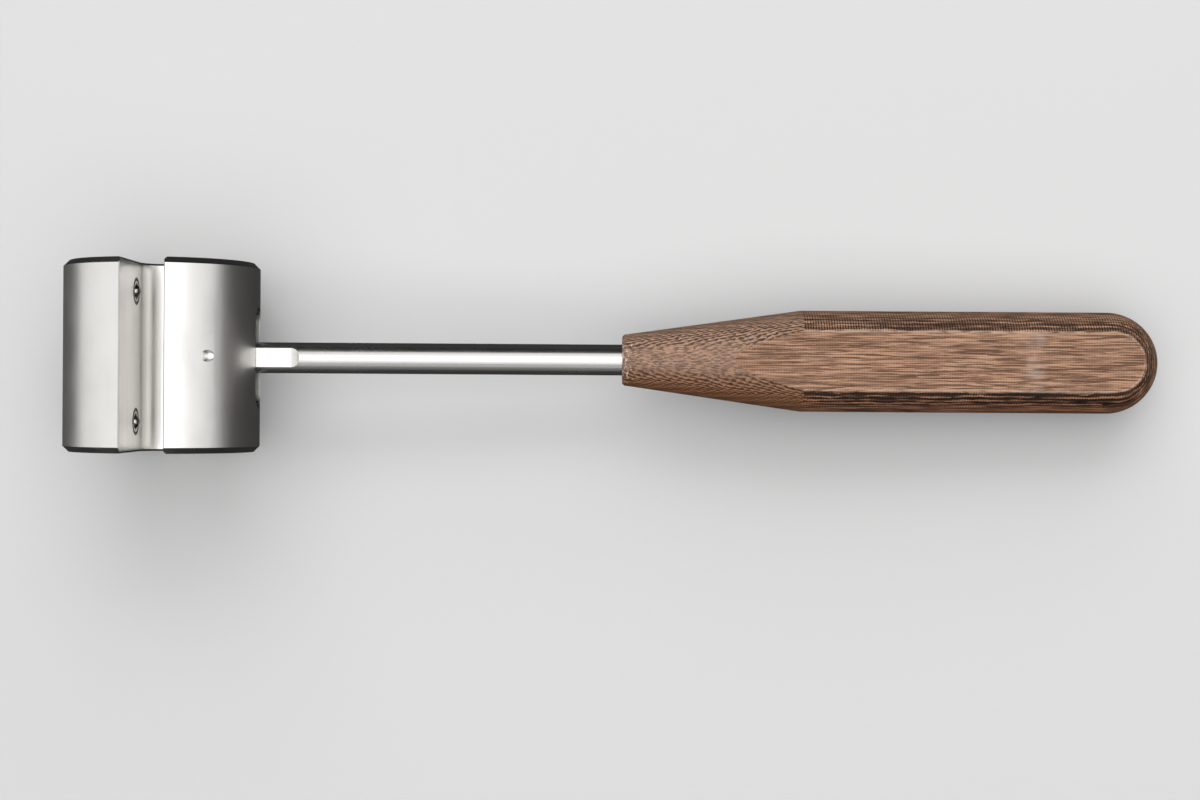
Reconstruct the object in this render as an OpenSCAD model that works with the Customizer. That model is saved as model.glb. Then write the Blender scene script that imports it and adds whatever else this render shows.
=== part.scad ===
// Slotted orthopaedic hammer: a round steel head with an open guide rod channel and two
// spring ball detents, and a steel shaft with a turned grip that swings in a slot of the head.
// X runs along the shaft towards the grip, Y along the head and Z out of the channel.
// The origin is the centre of the head, on the axis of the channel's round bottom.

/* [Head] */
// Diameter of the head
head_d = 50; // [49:0.5:54]
// Length of the head between its striking faces
head_l = 49; // [46:1:60]
// Width of the chamfer round each striking face
head_chamfer = 1.5; // [0.5:0.1:2.5]

/* [Guide rod channel] */
// Width of the open channel, which is also the diameter of its round bottom
channel_w = 11; // [9:0.5:11]
// Chamfer where the channel runs out through the striking faces
channel_end_chamfer = 0.5; // [0.2:0.1:0.8]
// Width of the chamfer along the two lips of the channel
channel_lip_chamfer = 0.3; // [0.1:0.1:0.6]

/* [Swing slot and pivot] */
// Length of the slot that the shaft swings in
slot_l = 25; // [23:0.5:28]
// Height of the slot
slot_h = 6.5; // [6.4:0.1:7]
// Distance from the head's axis to the floor of the slot
slot_floor_x = 10.8; // [9.5:0.1:11]
// Chamfer round the mouth of the slot
slot_chamfer = 0.3; // [0.1:0.1:0.5]
// Distance from the head's axis to the pivot pin
pivot_x = 15.5; // [15.5:0.1:16.5]
// Diameter of the pivot pin
pivot_d = 3; // [2.5:0.1:3.6]
// Radial clearance of the pivot pin in the shaft
pivot_clearance = 0.05; // [0.02:0.01:0.1]

/* [Ball detents] */
// Distance of each ball from the middle of the head
detent_y = 16.7; // [14:0.1:18]
// Height of the balls above the axis of the channel's round bottom
detent_z = 5.8; // [4:0.1:8]
// Diameter of the ball
ball_d = 4; // [3.6:0.1:4.2]
// How far the ball stands out of the channel's wall
ball_stand_out = 1.1; // [0.7:0.1:1.2]
// Diameter of the plunger body
plunger_d = 6.3; // [6:0.1:7.5]
// Length of the plunger body
plunger_l = 11; // [9.5:0.5:13]
// Number of turns of the detent spring
spring_turns = 7; // [4:1:8]
// Diameter of the spring wire
spring_wire_d = 0.4; // [0.3:0.05:0.5]

/* [Shaft] */
// Diameter of the shaft
shaft_d = 8; // [7.6:0.1:8]
// Thickness of the flattened tang
tang_t = 6.3; // [5.6:0.1:6.3]
// Distance from the head's axis to where the tang's flats start to run out
tang_end_x = 33.8; // [32:0.1:40]
// Radius of the run-out at the end of each flat
tang_runout_r = 3.2; // [1.5:0.1:4]
// Length of shaft inside the grip
shaft_in_grip = 98; // [70:1:104]

/* [Grip] */
// Distance from the head's axis to the front face of the grip
grip_front_x = 119.3; // [100:0.1:160]
// Length of the grip
grip_l = 138.4; // [130:0.1:150]
// Diameter of the turned grip
grip_d = 26.2; // [25:0.1:28]
// Thickness of the grip between its two flats
grip_t = 21.3; // [18:0.1:23]
// Diameter at the front of the cone
grip_front_d = 13.2; // [12:0.1:16]
// Length of the cone
grip_cone_l = 46.2; // [40:0.1:60]
// Chamfer round the front face
grip_front_chamfer = 0.5; // [0.2:0.1:1]
// Distance from the grip's front face to the cross pin
grip_pin_x = 62; // [50:1:66]
// Diameter of the cross pin
grip_pin_d = 3; // [2:0.1:4]

/* [Hidden] */
head_r = head_d / 2;
channel_r = channel_w / 2;
shaft_r = shaft_d / 2;
grip_r = grip_d / 2;
ball_r = ball_d / 2;
plunger_r = plunger_d / 2;
slot_end_r = slot_h / 2;
slot_end_y = slot_l / 2 - slot_end_r;

// The tang's end is an arc round the pivot that stays clear of the slot's floor
tang_end_gap = 0.4;
tang_end_r = pivot_x - slot_floor_x - tang_end_gap;

// How far the pin's ends lie inside the head's surface on the pin's outer side, and their dome
pivot_recess = 0.15;
pivot_dome_r = 3;
pivot_half_l = sqrt(pow(head_r, 2) - pow(pivot_x + pivot_d / 2, 2)) - pivot_recess;

// The plunger's lip is a cone that just clears the ball, and its chamber guides the ball
ball_gap = 0.05;
lip_gap = 0.025;
lip_depth = 0.6;
lip_mouth_r = sqrt(pow(ball_r, 2) - pow(ball_r - ball_stand_out, 2)) + lip_gap;
chamber_r = ball_r + ball_gap;
chamber_floor = plunger_l - 1;
nose_chamfer = 0.25;
bore_rim = 0.2;

// The spring reaches from the chamber's floor to just behind the back of the ball
spring_side_gap = 0.15;
spring_ball_gap = 0.03;
spring_r = chamber_r - spring_side_gap - spring_wire_d / 2;
ball_centre = ball_stand_out - ball_r;
spring_ball_r = ball_r + spring_wire_d / 2 + spring_ball_gap;
spring_front = ball_centre - sqrt(pow(spring_ball_r, 2) - pow(spring_r, 2));
spring_back = spring_wire_d / 2 - chamber_floor;
spring_steps = 16;
spring_sides = 6;

grip_straight_end = grip_l - grip_r;
grip_bore_l = shaft_in_grip + 0.5;
drill_point_l = shaft_r * 0.6;
shaft_end_chamfer = 0.6;
eps = 0.01;
$fn = 96;

// Turns a shape that stands on the XY plane so that it points along X or along Y
module along_x() {
    rotate([0, 90, 0]) children();
}

module along_y() {
    rotate([-90, 0, 0]) children();
}

// Puts a shape in the frame of one ball detent: +Z out of its nose, 0 at the channel's wall
module at_detent(side) {
    translate([-channel_r, side * detent_y, detent_z]) along_x() children();
}

// A round bar along Y with both ends chamfered
module head_bar() {
    half = head_l / 2;
    rim = head_r - head_chamfer;
    along_y() rotate_extrude() polygon([
        [0, -half],
        [rim, -half],
        [head_r, head_chamfer - half],
        [head_r, half - head_chamfer],
        [rim, half],
        [0, half],
    ]);
}

// The open channel, with a chamfer at both ends and along both lips
module channel_cut() {
    top = head_r + 1;
    lip_z = sqrt(pow(head_r, 2) - pow(channel_r, 2));
    lip_side = channel_lip_chamfer * sqrt(2);
    along_y() cylinder(h = head_l + 2, r = channel_r, center = true);
    translate([-channel_r, -head_l / 2 - 1, 0]) cube([channel_w, head_l + 2, top]);
    for (side = [-1, 1]) {
        translate([side * channel_r, 0, lip_z]) rotate([0, 45, 0])
            cube([lip_side, head_l + 2, lip_side], center = true);
        mirror([0, side < 0 ? 1 : 0, 0]) channel_end_cut(top);
    }
}

// A trapezoid over the straight walls and a cone in the round bottom
module channel_end_cut(top) {
    deep = head_l / 2 - channel_end_chamfer;
    out = head_l / 2 + 1;
    wide = channel_r + channel_end_chamfer + 1;
    linear_extrude(top) polygon([
        [-channel_r, deep],
        [channel_r, deep],
        [wide, out],
        [-wide, out],
    ]);
    along_y() translate([0, 0, deep]) cylinder(h = out - deep, r1 = channel_r, r2 = wide);
}

// The slot that the shaft swings in, cut from the side of the head, with a chamfered mouth
module slot_cut() {
    depth = head_r + 1 - slot_floor_x;
    mouth_x = sqrt(pow(head_r, 2) - pow(slot_end_r, 2)) - slot_chamfer;
    flare = head_r + 1 - mouth_x;
    translate([slot_floor_x, -slot_end_y, -slot_end_r]) cube([depth, 2 * slot_end_y, slot_h]);
    translate([0, slot_end_y, 0]) rotate([90, 0, 0]) linear_extrude(2 * slot_end_y) polygon([
        [mouth_x, -slot_end_r],
        [mouth_x + flare, -slot_end_r - flare],
        [mouth_x + flare, slot_end_r + flare],
        [mouth_x, slot_end_r],
    ]);
    for (y = [-slot_end_y, slot_end_y]) {
        translate([slot_floor_x, y, 0]) along_x() cylinder(h = depth, r = slot_end_r);
        translate([mouth_x, y, 0]) along_x()
            cylinder(h = flare, r1 = slot_end_r, r2 = slot_end_r + flare);
    }
}

// One plunger's bore, from the channel's wall out through the side of the head
module plunger_bore(side) {
    at_detent(side) {
        translate([0, 0, -head_r]) cylinder(h = head_r + 1, r = plunger_r);
        translate([0, 0, -bore_rim])
            cylinder(h = 2 * bore_rim, r1 = plunger_r, r2 = plunger_r + 2 * bore_rim);
    }
}

module head_block() {
    color("silver") difference() {
        head_bar();
        channel_cut();
        slot_cut();
        translate([pivot_x, 0, 0]) cylinder(h = head_d + 2, d = pivot_d, center = true);
        for (side = [-1, 1]) plunger_bore(side);
    }
}

// The pin's two ends are shallow domes inside the head's surface
module pivot_pin() {
    dome_z = pivot_half_l - pivot_dome_r;
    color("gainsboro") translate([pivot_x, 0, 0]) intersection() {
        cylinder(h = 2 * pivot_half_l, d = pivot_d, center = true);
        union() {
            cylinder(h = 2 * dome_z, r = pivot_d, center = true);
            for (side = [-1, 1]) translate([0, 0, side * dome_z]) sphere(pivot_dome_r);
        }
    }
}

// One flat of the tang and its run-out, on the upper side
module tang_flat_cut() {
    start_x = pivot_x - shaft_d;
    translate([start_x, -shaft_r - 1, tang_t / 2]) cube([tang_end_x - start_x, shaft_d + 2, shaft_d]);
    translate([tang_end_x, 0, tang_t / 2 + tang_runout_r]) along_y()
        cylinder(h = shaft_d + 2, r = tang_runout_r, center = true);
}

module shaft() {
    tang_start_x = pivot_x - tang_end_r;
    end_x = grip_front_x + shaft_in_grip;
    color("lightgray") difference() {
        intersection() {
            translate([tang_start_x, 0, 0]) along_x() union() {
                cylinder(h = end_x - tang_start_x - shaft_end_chamfer, r = shaft_r);
                translate([0, 0, end_x - tang_start_x - shaft_end_chamfer])
                    cylinder(h = shaft_end_chamfer, r1 = shaft_r, r2 = shaft_r - shaft_end_chamfer);
            }
            union() {
                translate([pivot_x, 0, 0]) cylinder(h = shaft_d + 2, r = tang_end_r, center = true);
                translate([pivot_x, -shaft_d, -shaft_d]) cube([end_x, 2 * shaft_d, 2 * shaft_d]);
            }
        }
        for (side = [0, 1]) mirror([0, 0, side]) tang_flat_cut();
        translate([pivot_x, 0, 0])
            cylinder(h = shaft_d + 2, r = pivot_d / 2 + pivot_clearance, center = true);
        translate([grip_front_x + grip_pin_x, 0, 0]) along_y()
            cylinder(h = shaft_d + 2, d = grip_pin_d, center = true);
    }
}

// Half of the grip's outline: a cone, a straight length and a round rear end
module grip_half() {
    front_r = grip_front_d / 2;
    polygon([
        [0, 0],
        [front_r - grip_front_chamfer, 0],
        [front_r, grip_front_chamfer],
        [grip_r, grip_cone_l],
        [grip_r, grip_straight_end],
        [0, grip_straight_end],
    ]);
    translate([0, grip_straight_end]) intersection() {
        circle(grip_r);
        square([grip_r + 1, grip_r + 1]);
    }
}

module grip() {
    color("sienna") translate([grip_front_x, 0, 0]) difference() {
        intersection() {
            along_x() rotate_extrude() grip_half();
            translate([-1, -grip_d, -grip_t / 2]) cube([grip_l + 2, 2 * grip_d, grip_t]);
        }
        translate([-1, 0, 0]) along_x() cylinder(h = grip_bore_l + 1, r = shaft_r);
        translate([grip_bore_l - eps, 0, 0]) along_x() cylinder(h = drill_point_l, r1 = shaft_r, r2 = 0);
        translate([grip_pin_x, 0, 0]) along_y()
            cylinder(h = grip_d + 2, d = grip_pin_d, center = true);
    }
}

// The cross pin's ends follow the grip's round sides
module grip_pin() {
    color("dimgray") translate([grip_front_x + grip_pin_x, 0, 0]) intersection() {
        along_y() cylinder(h = grip_d + 2, d = grip_pin_d, center = true);
        along_x() cylinder(h = grip_d, r = grip_r, center = true);
    }
}

module plunger_body(side) {
    color("darkgray") at_detent(side) difference() {
        union() {
            translate([0, 0, -plunger_l]) cylinder(h = plunger_l - nose_chamfer, r = plunger_r);
            translate([0, 0, -nose_chamfer])
                cylinder(h = nose_chamfer, r1 = plunger_r, r2 = plunger_r - nose_chamfer);
        }
        translate([0, 0, -chamber_floor]) cylinder(h = chamber_floor - lip_depth + eps, r = chamber_r);
        translate([0, 0, -lip_depth]) cylinder(h = lip_depth, r1 = chamber_r, r2 = lip_mouth_r);
        translate([0, 0, -eps]) cylinder(h = 1, r = lip_mouth_r);
    }
}

module plunger_body_left() {
    plunger_body(-1);
}

module plunger_body_right() {
    plunger_body(1);
}

module detent_ball(side) {
    color("gray") at_detent(side) translate([0, 0, ball_centre]) sphere(ball_r);
}

module detent_ball_left() {
    detent_ball(-1);
}

module detent_ball_right() {
    detent_ball(1);
}

// A point on the skin of the spring's wire: step along the coil, corner round the wire
function spring_point(step, corner) =
    let (
        turn = 360 * step / spring_steps,
        round_wire = 360 * corner / spring_sides,
        out = spring_r + spring_wire_d / 2 * cos(round_wire),
        rise = (spring_front - spring_back) * step / (spring_turns * spring_steps)
    )
    [out * cos(turn), out * sin(turn), spring_back + rise + spring_wire_d / 2 * sin(round_wire)];

module detent_spring(side) {
    steps = spring_turns * spring_steps;
    last = steps * spring_sides;
    points = [
        for (step = [0:steps], corner = [0:spring_sides - 1]) spring_point(step, corner)
    ];
    walls = [
        for (step = [0:steps - 1], corner = [0:spring_sides - 1])
            let (next = (corner + 1) % spring_sides, row = step * spring_sides)
            [row + corner, row + spring_sides + corner, row + spring_sides + next, row + next]
    ];
    start_cap = [for (corner = [0:spring_sides - 1]) corner];
    end_cap = [for (corner = [spring_sides - 1:-1:0]) last + corner];
    color("slategray") at_detent(side) polyhedron(points, concat(walls, [start_cap, end_cap]));
}

module detent_spring_left() {
    detent_spring(-1);
}

module detent_spring_right() {
    detent_spring(1);
}

// Closes the plunger's bore, flush with the round outside of the head
module bore_plug(side) {
    color("silver") intersection() {
        at_detent(side) translate([0, 0, -head_r]) cylinder(h = head_r - plunger_l, r = plunger_r);
        along_y() cylinder(h = head_l, r = head_r, center = true);
    }
}

module bore_plug_left() {
    bore_plug(-1);
}

module bore_plug_right() {
    bore_plug(1);
}

head_block();
pivot_pin();
shaft();
grip();
grip_pin();
plunger_body_left();
plunger_body_right();
detent_ball_left();
detent_ball_right();
detent_spring_left();
detent_spring_right();
bore_plug_left();
bore_plug_right();
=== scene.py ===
"""Looks of the slotted orthopaedic hammer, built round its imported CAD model.

X runs along the shaft towards the grip, Y along the head and Z out of the guide rod channel.
Everything is in metres in that frame; the materials' patterns are laid out in millimetres.
"""
import math

import bmesh
import bpy
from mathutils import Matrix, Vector


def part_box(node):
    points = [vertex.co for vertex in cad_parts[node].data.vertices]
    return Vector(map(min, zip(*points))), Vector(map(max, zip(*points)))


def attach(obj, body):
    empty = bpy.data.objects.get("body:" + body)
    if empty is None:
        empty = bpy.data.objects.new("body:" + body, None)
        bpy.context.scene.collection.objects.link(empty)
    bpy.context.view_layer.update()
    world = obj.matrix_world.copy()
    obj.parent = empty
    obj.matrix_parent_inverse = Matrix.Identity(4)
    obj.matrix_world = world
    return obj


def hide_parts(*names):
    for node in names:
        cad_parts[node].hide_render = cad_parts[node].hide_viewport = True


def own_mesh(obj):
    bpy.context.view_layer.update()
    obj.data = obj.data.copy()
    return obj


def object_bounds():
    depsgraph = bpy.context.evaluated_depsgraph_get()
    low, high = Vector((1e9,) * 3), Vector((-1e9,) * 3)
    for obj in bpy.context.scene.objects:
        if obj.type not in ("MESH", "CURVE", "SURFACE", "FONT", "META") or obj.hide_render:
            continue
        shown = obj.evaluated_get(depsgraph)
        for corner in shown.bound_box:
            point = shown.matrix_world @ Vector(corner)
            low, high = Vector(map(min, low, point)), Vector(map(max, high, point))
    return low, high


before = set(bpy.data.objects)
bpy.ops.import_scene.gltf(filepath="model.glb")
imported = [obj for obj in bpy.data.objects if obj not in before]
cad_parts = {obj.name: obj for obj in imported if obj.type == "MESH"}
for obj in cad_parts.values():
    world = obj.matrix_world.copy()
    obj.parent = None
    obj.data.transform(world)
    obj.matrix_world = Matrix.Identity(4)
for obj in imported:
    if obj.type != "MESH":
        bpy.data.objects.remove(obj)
cad_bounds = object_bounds()

MM = 0.001
# A pattern this long, in mm, doesn't change along that axis
ENDLESS = 900
# Polished steel for the faces' bright rings, and the highlight painted on each ball, as linear red,
# green and blue
BURNISH_AND_HIGHLIGHT = (0.96, 0.95, 0.93)
scene = bpy.context.scene


# ---------------------------------------------------------------- node helpers

class Tree:
    """One material's nodes. Every method adds a node and returns the output that it makes."""

    def __init__(self, name):
        self.material = bpy.data.materials.new(name)
        self.material.use_nodes = True
        self.nodes = self.material.node_tree.nodes
        self.links = self.material.node_tree.links
        self.nodes.clear()

    def put(self, socket, value):
        """Links value to the socket where it is an output, and sets it otherwise."""
        if isinstance(value, bpy.types.NodeSocket):
            self.links.new(value, socket)
        elif value is not None:
            socket.default_value = value

    def math(self, operation, a, b=None, c=None, clamp=False):
        node = self.nodes.new("ShaderNodeMath")
        node.operation = operation
        node.use_clamp = clamp
        for socket, value in zip(node.inputs, (a, b, c)):
            self.put(socket, value)
        return node.outputs[0]

    def add(self, a, b):
        return self.math("ADD", a, b)

    def sub(self, a, b):
        return self.math("SUBTRACT", a, b)

    def mul(self, a, b):
        return self.math("MULTIPLY", a, b)

    def mul_add(self, a, b, c):
        return self.math("MULTIPLY_ADD", a, b, c)

    def sine(self, value, period):
        """A sine of the value with this period, from -1 to 1."""
        return self.math("SINE", self.mul(value, 2 * math.pi / period))

    def ramp(self, value, low, high, out_low=0.0, out_high=1.0, smooth=True):
        """Goes from out_low to out_high while value goes from low to high, and stays there."""
        node = self.nodes.new("ShaderNodeMapRange")
        node.interpolation_type = "SMOOTHSTEP" if smooth else "LINEAR"
        for socket, number in zip(node.inputs[:5], (value, low, high, out_low, out_high)):
            self.put(socket, number)
        return node.outputs[0]

    def millimetres(self):
        """The point on the object, in millimetres in the CAD frame, as a vector."""
        coordinates = self.nodes.new("ShaderNodeTexCoord")
        return self.scale(coordinates.outputs["Object"], (1 / MM,) * 3)

    def normal(self):
        """The surface's direction in the frame of its own body, as x, y and z."""
        return self.split(self.nodes.new("ShaderNodeTexCoord").outputs["Normal"])

    def split(self, vector):
        node = self.nodes.new("ShaderNodeSeparateXYZ")
        self.put(node.inputs[0], vector)
        return node.outputs[0], node.outputs[1], node.outputs[2]

    def join(self, x, y, z):
        node = self.nodes.new("ShaderNodeCombineXYZ")
        for socket, value in zip(node.inputs, (x, y, z)):
            self.put(socket, value)
        return node.outputs[0]

    def scale(self, vector, factors):
        node = self.nodes.new("ShaderNodeVectorMath")
        node.operation = "MULTIPLY"
        self.put(node.inputs[0], vector)
        node.inputs[1].default_value = factors
        return node.outputs[0]

    def noise(self, point, lengths, detail=2.0, roughness=0.5, offset=0.0):
        """Noise from 0 to 1 whose patches are about this long, in mm, along x, y and z."""
        node = self.nodes.new("ShaderNodeTexNoise")
        shifted = self.nodes.new("ShaderNodeVectorMath")
        shifted.operation = "ADD"
        self.put(shifted.inputs[0], self.scale(point, tuple(1 / length for length in lengths)))
        shifted.inputs[1].default_value = (offset, offset * 1.7, offset * 2.3)
        self.put(node.inputs["Vector"], shifted.outputs[0])
        node.inputs["Scale"].default_value = 1.0
        node.inputs["Detail"].default_value = detail
        node.inputs["Roughness"].default_value = roughness
        return node.outputs["Fac"]

    def mix(self, factor, a, b, blend="MIX"):
        """A colour between a and b. Its two colours are the Mix node's inputs 6 and 7."""
        node = self.nodes.new("ShaderNodeMix")
        node.data_type = "RGBA"
        node.blend_type = blend
        self.put(node.inputs[0], factor)
        for socket, value in zip(node.inputs[6:8], (a, b)):
            self.put(socket, value if isinstance(value, bpy.types.NodeSocket) else (*value, 1.0))
        return node.outputs[2]

    def bump(self, height, depth, strength=1.0, normal=None):
        """A bump whose height of 1 stands this many mm above 0."""
        node = self.nodes.new("ShaderNodeBump")
        node.inputs["Distance"].default_value = depth * MM
        node.inputs["Strength"].default_value = strength
        self.put(node.inputs["Height"], height)
        self.put(node.inputs["Normal"], normal)
        return node.outputs[0]

    def finish(self, **inputs):
        """The surface shader. A plain number or colour goes on its own socket."""
        shader = self.nodes.new("ShaderNodeBsdfPrincipled")
        for name, value in inputs.items():
            self.put(shader.inputs[name.replace("_", " ")], value)
        output = self.nodes.new("ShaderNodeOutputMaterial")
        self.links.new(shader.outputs[0], output.inputs["Surface"])
        return self.material


# ---------------------------------------------------------------- sizes from the frame, in mm

def box_mm(node):
    """A node's lowest and highest corners."""
    low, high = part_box(node)
    return low / MM, high / MM


HEAD_R = box_mm("head_block")[1].x

plunger_low, plunger_high = box_mm("plunger_body_right")
PLUNGER_R = (plunger_high.y - plunger_low.y) / 2
DETENT_Y = (plunger_high.y + plunger_low.y) / 2
DETENT_Z = (plunger_high.z + plunger_low.z) / 2
ball_low, ball_high = box_mm("detent_ball_right")
BALL_R = (ball_high.y - ball_low.y) / 2
# The middle of the highlight painted on each ball's upper front
BALL_HIGHLIGHT_X = ball_high.x - BALL_R * 0.40
BALL_HIGHLIGHT_Z = (ball_high.z + ball_low.z) / 2 + BALL_R * 0.78

grip_low, grip_high = box_mm("grip")
GRIP_R = grip_high.y
GRIP_FLAT_Z = grip_high.z
GRIP_FRONT_X = grip_low.x
GRIP_REAR_CENTRE_X = grip_high.x - GRIP_R
# The cone's front radius and length aren't in the frame, so they repeat those of part.scad
GRIP_FRONT_R = 6.6
GRIP_CONE_L = 46.2
GRIP_CONE_END_X = GRIP_FRONT_X + GRIP_CONE_L
# The middle of the scuffed band round the straight part
SCUFF_X = GRIP_FRONT_X + 105


# ---------------------------------------------------------------- metals

def head_steel():
    """Satin steel: turned rings on the outside and the faces, milled streaks in the channel."""
    t = Tree("satin_head_steel")
    point = t.millimetres()
    x, y, z = t.split(point)
    _, face, _ = t.normal()
    radius = t.math("SQRT", t.add(t.mul(x, x), t.mul(z, z)))
    on_face = t.ramp(t.math("ABSOLUTE", face), 0.90, 0.97)
    inside = t.ramp(radius, HEAD_R - 0.6, HEAD_R - 0.4, 1.0, 0.0)
    in_cut = t.mul(inside, t.sub(1.0, on_face))

    rings = t.noise(point, (ENDLESS, 0.09, ENDLESS), detail=3)
    face_rings = t.noise(t.join(radius, 0.0, 0.0), (0.12, ENDLESS, ENDLESS), detail=3)
    milled = t.noise(point, (0.25, 30, 0.25), detail=3)
    grain = t.noise(point, (0.11, 0.11, 0.11), detail=2)
    turned = t.add(t.mul(rings, t.sub(1.0, on_face)), t.mul(face_rings, on_face))
    outside = t.add(t.mul(turned, 0.35), t.mul(grain, 0.65))
    height = t.add(t.mul(outside, t.sub(1.0, in_cut)), t.mul(milled, t.mul(in_cut, 0.12)))

    # Painted shade: a near-black ring in the gap round each plunger
    across = t.math("ABSOLUTE", t.sub(t.math("ABSOLUTE", y), DETENT_Y))
    up = t.sub(z, DETENT_Z)
    from_bore = t.math("SQRT", t.add(t.mul(across, across), t.mul(up, up)))
    plunger_gap_shade = t.ramp(from_bore, PLUNGER_R + 0.30, PLUNGER_R + 0.55, 1.0, 0.0)
    plunger_gap_shade = t.mul(plunger_gap_shade, t.ramp(x, -6.5, -6.3))
    plunger_gap_shade = t.mul(plunger_gap_shade, t.ramp(x, 0.0, 0.1, 1.0, 0.0))

    smudge = t.noise(point, (9, 14, 9), detail=4, roughness=0.6)
    handled = t.ramp(smudge, 0.35, 0.75)
    rim_painted_dark = t.mul(t.ramp(t.math("ABSOLUTE", face), 0.55, 0.65), t.sub(1.0, on_face))
    smoother = t.add(t.mul(in_cut, 0.06), t.mul(rim_painted_dark, 0.10))
    roughness = t.sub(t.add(t.mul(handled, 0.05), 0.34), smoother)
    roughness = t.add(roughness, t.mul(on_face, 0.14))
    tint = t.mix(handled, (0.69, 0.68, 0.66), (0.65, 0.64, 0.615))
    # Milled streaks in the channel, with painted light: the steel there is painted paler than
    # outside
    milled_streaks_and_painted_light = t.mix(t.ramp(milled, 0.35, 0.65), (0.92, 0.91, 0.895), (0.85, 0.84, 0.825))
    # Painted shade: the channel's steel darker towards its bottom
    depth = t.ramp(z, -4, 16, 0.38, 0.0)
    milled_streaks_and_painted_light = t.mix(depth, milled_streaks_and_painted_light, (0.62, 0.60, 0.57))
    colour = t.mix(in_cut, tint, milled_streaks_and_painted_light)
    # Painted dark reflection on the chamfers at the head's ends
    colour = t.mix(t.mul(rim_painted_dark, 0.75), colour, (0.24, 0.24, 0.23))

    # The striking faces: broad and fine turned rings, and marks from being struck
    broad_rings = t.noise(
        t.join(radius, 0.0, 0.0), (0.8, ENDLESS, ENDLESS), detail=4, roughness=0.7, offset=3.7
    )
    bright_rings = t.ramp(broad_rings, 0.35, 0.65, 0.0, 0.75)
    colour = t.mix(t.mul(on_face, bright_rings), colour, BURNISH_AND_HIGHLIGHT)
    dent = t.noise(point, (0.7, 0.7, 0.7), detail=2, offset=4.9)
    struck = t.mul(t.ramp(dent, 0.66, 0.74), t.ramp(smudge, 0.42, 0.58))
    colour = t.mix(t.mul(on_face, t.mul(struck, 0.7)), colour, (0.30, 0.295, 0.285))
    height = t.sub(height, t.mul(on_face, t.mul(struck, 4.0)))
    # Painted shade in the gap round each plunger
    colour = t.mix(plunger_gap_shade, colour, (0.05, 0.045, 0.04))
    return t.finish(
        Base_Color=colour, Metallic=1.0, Roughness=roughness, Normal=t.bump(height, 0.0035)
    )


def shaft_steel():
    """Ground rod: fine rings round it, and long polishing lines on the tang's flats."""
    t = Tree("ground_shaft_steel")
    point = t.millimetres()
    _, _, up = t.normal()
    x, _, _ = t.split(point)
    tang = t.mul(t.ramp(x, 33.0, 36.0, 1.0, 0.0), t.ramp(t.math("ABSOLUTE", up), 0.93, 0.98))
    rings = t.noise(point, (0.07, ENDLESS, ENDLESS), detail=3)
    lines = t.noise(point, (9, 0.07, 9), detail=3)
    height = t.add(t.mul(rings, t.sub(1.0, tang)), t.mul(lines, tang))
    wear_and_highlight = t.noise(point, (16, 5, 5), detail=4, roughness=0.6)
    roughness = t.ramp(wear_and_highlight, 0.3, 0.8, 0.22, 0.30)
    colour = t.mix(wear_and_highlight, (0.68, 0.67, 0.65), (0.62, 0.61, 0.59))
    return t.finish(
        Base_Color=colour, Metallic=1.0, Roughness=roughness, Normal=t.bump(height, 0.003)
    )


def plain_steel(name, bright, dull, roughness, grain_size, grain_depth):
    """Steel whose tone drifts between bright and dull, with a fine even grain."""
    t = Tree(name)
    point = t.millimetres()
    drift = t.noise(point, (1.5, 1.5, 1.5), detail=4, roughness=0.6)
    grain = t.noise(point, (grain_size,) * 3, detail=2)
    return t.finish(
        Base_Color=t.mix(drift, bright, dull),
        Metallic=1.0,
        Roughness=t.ramp(drift, 0.3, 0.7, roughness * 0.85, roughness * 1.2),
        Normal=t.bump(grain, grain_depth),
    )


def plunger_steel():
    """A pale ring, with painted shade: near-black in the gap round the ball and at the bore's rim.
    """
    t = Tree("plunger_steel_finish")
    point = t.millimetres()
    _, y, z = t.split(point)
    across = t.sub(t.math("ABSOLUTE", y), DETENT_Y)
    up = t.sub(z, DETENT_Z)
    radius = t.math("SQRT", t.add(t.mul(across, across), t.mul(up, up)))
    drift = t.noise(point, (1.5, 1.5, 1.5), detail=4, roughness=0.6)
    # Painted shade at the bore's rim and in the gap round the ball
    outer = t.ramp(radius, PLUNGER_R - 0.70, PLUNGER_R - 0.42)
    inner = t.ramp(radius, BALL_R + 0.12, BALL_R + 0.30, 1.0, 0.0)
    pale = t.mix(drift, (0.84, 0.82, 0.79), (0.66, 0.64, 0.61))
    return t.finish(
        Base_Color=t.mix(t.math("MAXIMUM", outer, inner), pale, (0.03, 0.028, 0.024)),
        Metallic=1.0,
        Roughness=t.ramp(drift, 0.3, 0.7, 0.32, 0.42),
        Normal=t.bump(drift, 0.002),
    )


def ball_steel():
    """Painted dark all over, with a painted highlight on the upper front."""
    t = Tree("ball_steel_finish")
    point = t.millimetres()
    x, y, z = t.split(point)
    ahead = t.sub(x, BALL_HIGHLIGHT_X)
    across = t.sub(t.math("ABSOLUTE", y), DETENT_Y)
    up = t.sub(z, BALL_HIGHLIGHT_Z)
    away = t.add(t.add(t.mul(ahead, ahead), t.mul(across, across)), t.mul(up, up))
    # Painted highlight on the upper front of each ball
    wear_and_highlight = t.ramp(t.math("SQRT", away), 0.35, 0.60, 1.0, 0.0)
    drift = t.noise(point, (1.5, 1.5, 1.5), detail=4, roughness=0.6)
    # Painted dark reflection: the ball painted dark all over
    painted_dark_reflection = t.mix(drift, (0.17, 0.165, 0.15), (0.11, 0.105, 0.095))
    return t.finish(
        Base_Color=t.mix(wear_and_highlight, painted_dark_reflection, BURNISH_AND_HIGHLIGHT),
        Metallic=1.0,
        Roughness=t.ramp(drift, 0.3, 0.7, 0.06, 0.09),
        Normal=t.bump(drift, 0.0005),
    )


# ---------------------------------------------------------------- laminated phenolic fabric

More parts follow.
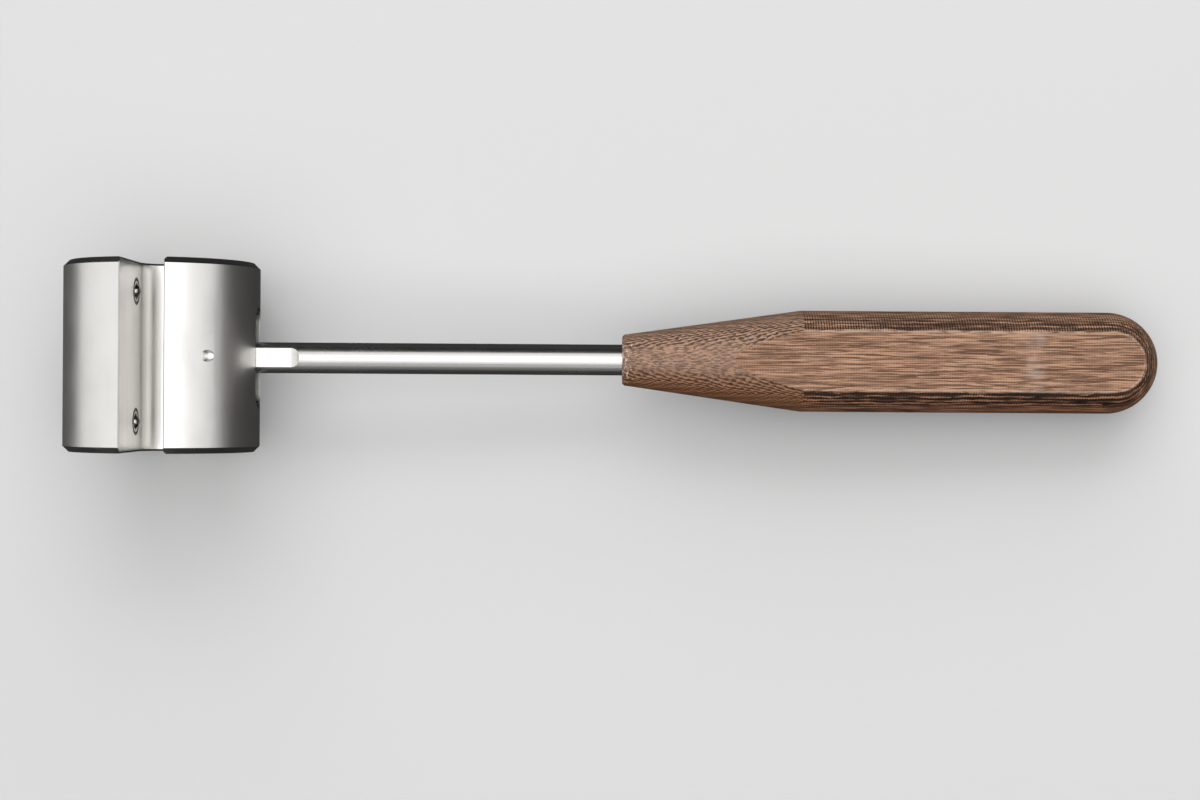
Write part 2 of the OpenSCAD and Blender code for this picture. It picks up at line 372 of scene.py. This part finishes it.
# The fabric's measures, in mm: a ply's thickness, the spacing of the yarns that cross X and of
# those along X, and the spacing of the short marks that the crossing yarns leave in a cut
PLY = 0.52
YARN_PITCH = 1.80
YARN_ROW = 0.56
TICK_PITCH = 0.68


def laminated_phenolic():
    """Plies of woven fabric in brown resin, stacked along Z and cut open by the turned shape."""
    t = Tree("laminated_phenolic_fabric")
    point = t.millimetres()
    x, y, z = t.split(point)
    _, side, _ = t.normal()

    # Where the surface is: on a flat, on the straight round sides, or near an edge
    cone_slope = (GRIP_R - GRIP_FRONT_R) / GRIP_CONE_L
    cone_r = t.add(t.mul(t.sub(x, GRIP_FRONT_X), cone_slope), GRIP_FRONT_R)
    past = t.math("MAXIMUM", t.sub(x, GRIP_REAR_CENTRE_X), 0.0)
    rear_r = t.math("SQRT", t.math("MAXIMUM", t.sub(GRIP_R ** 2, t.mul(past, past)), 0.0))
    radius = t.math("SQRT", t.add(t.mul(y, y), t.mul(z, z)))
    under_round = t.sub(t.math("MINIMUM", cone_r, rear_r), radius)
    under_flat = t.sub(GRIP_FLAT_Z, t.math("ABSOLUTE", z))
    on_flat = t.ramp(under_flat, 0.01, 0.06, 1.0, 0.0)
    edge = t.ramp(t.add(under_round, under_flat), 0.10, 0.32, 1.0, 0.0)
    straight = t.ramp(x, GRIP_CONE_END_X - 0.2, GRIP_CONE_END_X + 0.2)
    dark_side = t.mul(straight, t.sub(1.0, on_flat))
    low_side_shade_and_pattern = t.ramp(side, -0.85, -0.15, 1.0, 0.0)

    # The stack of plies, swelled by the pressing, and the crossing yarns of each ply. Where the
    # plies are cut at a flat angle, the yarns along X show as long staggered dashes
    swell = t.noise(point, (11, 5, 7), detail=3, offset=7.7)
    wander = t.noise(point, (1.9, 1.0, 1.0), detail=3, roughness=0.6, offset=3.1)
    level = t.add(t.add(z, t.mul(swell, 1.5)), t.mul(wander, 0.50))
    count = t.math("DIVIDE", level, PLY)
    turn = t.mul(t.math("FLOOR", count), 3.6)
    layer = t.sine(count, 1.0)
    warp_at = t.add(t.mul(t.add(x, t.mul(wander, 1.2)), 2 * math.pi / YARN_PITCH), turn)
    weft_at = t.add(t.mul(t.add(y, t.mul(wander, 0.25)), math.pi / YARN_ROW), t.mul(turn, 1.7))
    warp = t.math("SINE", warp_at)
    weft = t.math("SINE", weft_at)
    steep = t.ramp(t.math("ABSOLUTE", side), 0.18, 0.60)
    lengthways = t.add(t.mul(t.mul(t.sine(count, 0.8), weft), 0.70), t.mul(t.mul(warp, weft), 0.30))
    crossways = t.add(t.add(t.mul(layer, 0.58), t.mul(warp, 0.34)), t.mul(weft, 0.20))
    woven = t.add(t.mul(lengthways, t.sub(1.0, steep)), t.mul(crossways, steep))
    dash = t.ramp(woven, 0.02, 0.26)
    crown = t.ramp(woven, -0.60, -0.20, 1.0, 0.0)

    # Long yarns along X with their fibres, and the cut ends of the cross yarns
    streak = t.noise(point, (8.0, 0.27, 0.5), detail=3, roughness=0.6)
    line = t.noise(point, (10.0, 0.26, 0.5), detail=1, roughness=0.5, offset=2.2)
    band = t.noise(point, (15, 1.6, 2.5), detail=2, offset=9.3)
    fibre = t.noise(point, (1.1, 0.14, 0.14), detail=2)
    patch = t.noise(point, (22, 6, 8), detail=2, offset=1.3)
    tick = t.ramp(t.sine(t.add(x, t.mul(wander, 0.5)), TICK_PITCH), -0.2, 0.7)

    tan = t.mix(t.ramp(streak, 0.42, 0.58), (0.095, 0.043, 0.021), (0.520, 0.292, 0.180))
    tan = t.mix(t.ramp(patch, 0.3, 0.7, 0.0, 0.30), tan, (0.300, 0.165, 0.105))
    tan = t.mix(t.ramp(fibre, 0.45, 0.75, 0.0, 0.45), tan, (0.560, 0.350, 0.225))
    tan = t.mix(t.ramp(band, 0.40, 0.62, 0.0, 0.28), tan, (0.230, 0.120, 0.070))
    brown = (0.075, 0.033, 0.016)

    flat_colour = t.mix(t.ramp(line, 0.54, 0.58, 0.0, 0.92), tan, brown)
    flat_colour = t.mix(t.mul(tick, 0.16), flat_colour, brown)

    # The cone shows cut yarns: greyer on top, and low on the sides a darker, warmer brown, which is
    # painted shade
    cone_base = t.mix(0.34, tan, (0.275, 0.195, 0.158))
    cone_base = t.mix(t.mul(low_side_shade_and_pattern, 0.88), cone_base, (0.310, 0.108, 0.026))
    pale_yarn = t.mul(crown, t.mul_add(steep, 0.35, 0.10))
    cone_colour = t.mix(pale_yarn, cone_base, (0.520, 0.360, 0.265))
    dark_yarn = t.mul(dash, t.mul_add(steep, 0.46, 0.46))
    cone_colour = t.mix(dark_yarn, cone_colour, (0.045, 0.021, 0.012))

    # The straight sides are darker, with broken near-black rows beside the flats: long dashes
    # on one side of the hammer, rows of short marks on the other, as the yarns happen to be cut
    row = t.sine(t.sub(t.add(under_flat, t.mul(swell, 1.3)), 1.0), 1.05)
    reach = t.ramp(under_flat, 0.3, 5.5, 1.0, 0.0)
    broken = t.noise(point, (4.5, 2.0, 0.7), detail=3, roughness=0.6, offset=4.4)
    row = t.ramp(t.add(t.mul(row, 0.16), t.add(broken, t.mul(reach, 0.13))), 0.54, 0.60)
    unbroken = t.mix(t.mul_add(low_side_shade_and_pattern, 0.45, 0.55), tick, (1.0, 1.0, 1.0))
    stain = t.mul(t.mul(row, t.ramp(reach, 0.0, 0.4)), unbroken)
    cloud = t.noise(point, (13, 3, 0.62), detail=3, roughness=0.6, offset=12.9)
    side_colour = t.mix(1.0, tan, (1.42, 1.46, 1.52), "MULTIPLY")
    # Painted shade: low on the sides, a warmer, more saturated brown with more dark plies
    side_colour = t.mix(t.mul(low_side_shade_and_pattern, 0.60), side_colour, (0.680, 0.275, 0.125))
    dark_ply = t.mul(t.ramp(cloud, 0.45, 0.55), t.mul_add(low_side_shade_and_pattern, 0.28, 0.58))
    side_colour = t.mix(dark_ply, side_colour, (0.036, 0.017, 0.011))
    dark_tick = t.mul(tick, t.mul_add(low_side_shade_and_pattern, -0.30, 0.72))
    side_colour = t.mix(dark_tick, side_colour, (0.035, 0.019, 0.013))
    side_colour = t.mix(t.mul(dash, 0.35), side_colour, (0.030, 0.015, 0.009))
    side_colour = t.mix(t.mul(stain, 0.97), side_colour, (0.006, 0.004, 0.003))

    colour = t.mix(on_flat, cone_colour, flat_colour)
    colour = t.mix(dark_side, colour, side_colour)

    # Edges rubbed pale in broken stretches, and a faint scuffed band round the straight part
    gaps = t.noise(point, (3.2, 0.6, 0.6), detail=3, offset=5.5)
    rubbed = t.mul(edge, t.ramp(gaps, 0.36, 0.56))
    colour = t.mix(t.mul(rubbed, t.mul(straight, 0.52)), colour, (0.600, 0.440, 0.330))
    scuff = t.ramp(t.math("ABSOLUTE", t.sub(x, SCUFF_X)), 1.2, 3.2, 1.0, 0.0)
    uneven = t.ramp(t.noise(point, (3, 3, 3), detail=3), 0.35, 0.70, 0.02, 0.18)
    scuff = t.mul(t.mul(scuff, on_flat), uneven)
    colour = t.mix(scuff, colour, (0.640, 0.560, 0.500))

    # Chips at the front rim, and a few pale nicks on the dark sides
    chip = t.noise(point, (0.7, 1.2, 1.2), detail=3, offset=8.1)
    limit = t.ramp(x, GRIP_FRONT_X + 0.2, GRIP_FRONT_X + 6.0, 0.56, 0.80)
    nick = t.noise(point, (0.9, 0.5, 0.5), detail=1, offset=6.6)
    pale = t.add(t.ramp(t.sub(chip, limit), 0.0, 0.03), t.mul(dark_side, t.ramp(nick, 0.80, 0.84)))
    colour = t.mix(t.mul(pale, 0.75), colour, (0.640, 0.530, 0.450))

    height = t.add(t.mul(fibre, 0.4), t.sub(t.mul(streak, 0.5), t.mul(dash, 0.5)))
    roughness = t.ramp(streak, 0.3, 0.7, 0.44, 0.54)
    return t.finish(
        Base_Color=colour,
        Roughness=roughness,
        IOR=1.5,
        Specular_IOR_Level=0.32,
        Normal=t.bump(height, 0.035),
    )


pin_finish = plain_steel(
    "pin_steel_finish", (0.80, 0.80, 0.77), (0.70, 0.71, 0.66), 0.30, 0.2, 0.002
)
plunger_finish = plunger_steel()
ball_finish = ball_steel()
spring_finish = plain_steel(
    "spring_steel_finish", (0.52, 0.51, 0.50), (0.38, 0.37, 0.36), 0.28, 0.1, 0.002
)
head_finish = head_steel()

FINISHES = {
    "head_block": head_finish,
    "bore_plug_left": head_finish,
    "bore_plug_right": head_finish,
    "pivot_pin": pin_finish,
    "grip_pin": pin_finish,
    "plunger_body_left": plunger_finish,
    "plunger_body_right": plunger_finish,
    "detent_ball_left": ball_finish,
    "detent_ball_right": ball_finish,
    "shaft": shaft_steel(),
    "grip": laminated_phenolic(),
}
for node, finish in FINISHES.items():
    for material_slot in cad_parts[node].material_slots:
        material_slot.material = finish


# ---------------------------------------------------------------- detent springs

# The turns and the wire's radius in mm repeat those of part.scad
SPRING_TURNS = 7
SPRING_WIRE_R = 0.2
STEPS_PER_TURN = 40
WIRE_SIDES = 14


def coil_mesh(name, centre_y, centre_z, front_x, back_x, coil_r):
    """A round wire wound along X, with a closed flat end at each end."""
    mesh = bpy.data.meshes.new(name)
    bm = bmesh.new()
    steps = SPRING_TURNS * STEPS_PER_TURN
    rings = []
    for step in range(steps + 1):
        share = step / steps
        turn = 2 * math.pi * SPRING_TURNS * share
        out = Vector((0, math.cos(turn), math.sin(turn)))
        middle = Vector((back_x + (front_x - back_x) * share, centre_y, centre_z)) + out * coil_r
        ring = []
        for corner in range(WIRE_SIDES):
            angle = 2 * math.pi * corner / WIRE_SIDES
            skin = out * math.cos(angle) + Vector((1, 0, 0)) * math.sin(angle)
            ring.append(bm.verts.new((middle + skin * SPRING_WIRE_R) * MM))
        rings.append(ring)
    for here, there in zip(rings, rings[1:]):
        for corner in range(WIRE_SIDES):
            after = (corner + 1) % WIRE_SIDES
            bm.faces.new((here[corner], there[corner], there[after], here[after]))
    bm.faces.new(rings[0])
    bm.faces.new(reversed(rings[-1]))
    bmesh.ops.recalc_face_normals(bm, faces=bm.faces)
    for face in bm.faces:
        face.smooth = len(face.verts) == 4
    bm.to_mesh(mesh)
    bm.free()
    return mesh


def make_spring(side):
    """The smooth spring that stands for the CAD one."""
    node = f"detent_spring_{side}"
    low, high = box_mm(node)
    coil_r = (high.y - low.y) / 2 - SPRING_WIRE_R
    mesh = coil_mesh(
        f"coil_{side}",
        (low.y + high.y) / 2,
        (low.z + high.z) / 2,
        high.x - SPRING_WIRE_R,
        low.x + SPRING_WIRE_R,
        coil_r,
    )
    spring = bpy.data.objects.new(f"wound_spring_{side}", mesh)
    scene.collection.objects.link(spring)
    mesh.materials.append(spring_finish)
    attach(spring, "head")
    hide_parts(node)
    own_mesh(spring)


make_spring("left")
make_spring("right")


# ---------------------------------------------------------------- floor, light and camera

# The hammer rests on the head's round side and on the rear edge of the grip's lower flat
grip_rest_x = GRIP_REAR_CENTRE_X + math.sqrt(GRIP_R ** 2 - GRIP_FLAT_Z ** 2)
floor_tilt = math.asin(HEAD_R / math.hypot(grip_rest_x, GRIP_FLAT_Z))
floor_tilt -= math.atan2(GRIP_FLAT_Z, grip_rest_x)
# How far below the hammer the floor lies, so that the two don't cut into each other, in mm
FLOOR_GAP = 0.04


def matt_finish(name, shade):
    """A matt grey with a faint grain."""
    t = Tree(name)
    grain = t.noise(t.millimetres(), (0.6, 0.6, 0.6), detail=2)
    matt = t.nodes.new("ShaderNodeBsdfDiffuse")
    dim = shade * 0.98
    t.put(matt.inputs["Color"], t.mix(grain, (dim, dim, dim), (shade, shade, shade)))
    output = t.nodes.new("ShaderNodeOutputMaterial")
    t.links.new(matt.outputs[0], output.inputs["Surface"])
    return t.material


def bowl_mesh(name):
    """A level round sheet whose far rim sweeps up like a photographer's cove."""
    mesh = bpy.data.meshes.new(name)
    bm = bmesh.new()
    flat_r, sweep_r, wall = 6.0, 2.5, 4.0
    sweep_steps = 16
    section = [(flat_r * share, 0.0) for share in (0.1, 0.5, 1.0)]
    for step in range(1, sweep_steps + 1):
        angle = step / sweep_steps * math.pi / 2
        section.append((flat_r + sweep_r * math.sin(angle), sweep_r * (1 - math.cos(angle))))
    section.append((flat_r + sweep_r, sweep_r + wall))
    sides = 96
    rings = []
    for radius, height in section:
        turns = [2 * math.pi * side / sides for side in range(sides)]
        ring = [(radius * math.cos(turn), radius * math.sin(turn), height) for turn in turns]
        rings.append([bm.verts.new(corner) for corner in ring])
    bm.faces.new(rings[0])
    for inner, outer in zip(rings, rings[1:]):
        for side in range(sides):
            after = (side + 1) % sides
            bm.faces.new((inner[side], outer[side], outer[after], inner[after]))
    for face in bm.faces:
        face.smooth = True
    bm.to_mesh(mesh)
    bm.free()
    return mesh


def make_floor(name, shade, lower, seen):
    """A level sheet under the hammer. Either the camera sees it, or the hammer's surfaces do."""
    floor = bpy.data.objects.new(name, bowl_mesh(name))
    scene.collection.objects.link(floor)
    drop = (HEAD_R + FLOOR_GAP + lower) * MM
    floor.location = (drop * math.sin(floor_tilt), 0, -drop * math.cos(floor_tilt))
    floor.rotation_euler = (0, -floor_tilt, 0)
    floor.data.materials.append(matt_finish(name + "_finish", shade))
    floor.visible_camera = seen
    floor.visible_diffuse = not seen
    floor.visible_glossy = not seen


def make_softbox(name, place, aim, size, brightness, lights_matt):
    """A rectangular light that either lights matt surfaces or shows in reflections.

    It faces aim, its size is in metres along X and Y, and a brightness of 1 looks white.
    """
    data = bpy.data.lights.new(name, "AREA")
    data.shape = "RECTANGLE"
    data.size, data.size_y = size
    data.energy = math.pi * size[0] * size[1] * brightness
    light = bpy.data.objects.new(name, data)
    scene.collection.objects.link(light)
    light.location = place
    light.visible_glossy = not lights_matt
    light.visible_diffuse = lights_matt
    light.visible_camera = False
    light.rotation_euler = (Vector(aim) - Vector(place)).to_track_quat("-Z", "Y").to_euler()


def make_world(brightness):
    world = bpy.data.worlds.new("soft_studio")
    world.use_nodes = True
    world.node_tree.nodes["Background"].inputs["Color"].default_value = (1.0, 1.0, 1.0, 1.0)
    world.node_tree.nodes["Background"].inputs["Strength"].default_value = brightness
    scene.world = world


# Where the photo's camera stood: this far up, and this far off the hammer's middle, in metres,
# and turned by this many degrees
CAMERA_HEIGHT = 0.5190
CAMERA_OFF_X = -0.00275
CAMERA_OFF_Y = -0.0104
CAMERA_TURN = 0.38


def make_camera():
    """Looks straight down on the hammer, from a little in front of its middle."""
    data = bpy.data.cameras.new("camera")
    data.sensor_width = 36
    data.lens = 60
    data.clip_start = 0.01
    camera = bpy.data.objects.new("camera", data)
    scene.collection.objects.link(camera)
    middle = (cad_bounds[0] + cad_bounds[1]) / 2
    camera.location = (middle.x + CAMERA_OFF_X, middle.y + CAMERA_OFF_Y, CAMERA_HEIGHT)
    camera.rotation_euler = (0, 0, math.radians(CAMERA_TURN))
    scene.camera = camera


make_floor("pale_floor", 0.70, 0.0, seen=True)
make_floor("dark_table_below", 0.10, 0.2, seen=False)

# Name, place, aim, size and brightness: first the lights that shape the steel's reflections,
# then those that light the grip and the floor
REFLECTED_LIGHTS = (
    ("long_softbox", (0.75, 0.12, 0.62), (0.75, 0.12, 0.0), (5.2, 1.16), 1.2),
    ("overhead_softbox", (0.18, 0.02, 0.60), (0.18, 0.02, 0.0), (0.52, 0.42), 0.9),
    ("left_softbox", (-0.36, 0.0, 0.05), (0.0, 0.0, 0.05), (1.2, 0.16), 1.1),
    ("front_high", (0.10, -0.62, 0.50), (0.10, 0.0, 0.0), (3.0, 0.34), 0.60),
    ("front_low", (0.10, -0.80, 0.20), (0.10, 0.0, 0.0), (3.0, 0.36), 0.22),
)
MATT_LIGHTS = (
    ("ceiling_softbox", (0.10, 0.8, 6.0), (0.10, 0.8, 0.0), (15.0, 15.0), 1.30),
    ("back_fill", (0.10, 1.50, 1.00), (0.10, 0.0, 0.0), (2.0, 1.2), 2.2),
)
for light_facts in REFLECTED_LIGHTS:
    make_softbox(*light_facts, lights_matt=False)
for light_facts in MATT_LIGHTS:
    make_softbox(*light_facts, lights_matt=True)
make_world(0.03)
make_camera()
scene.view_settings.view_transform = "Standard"
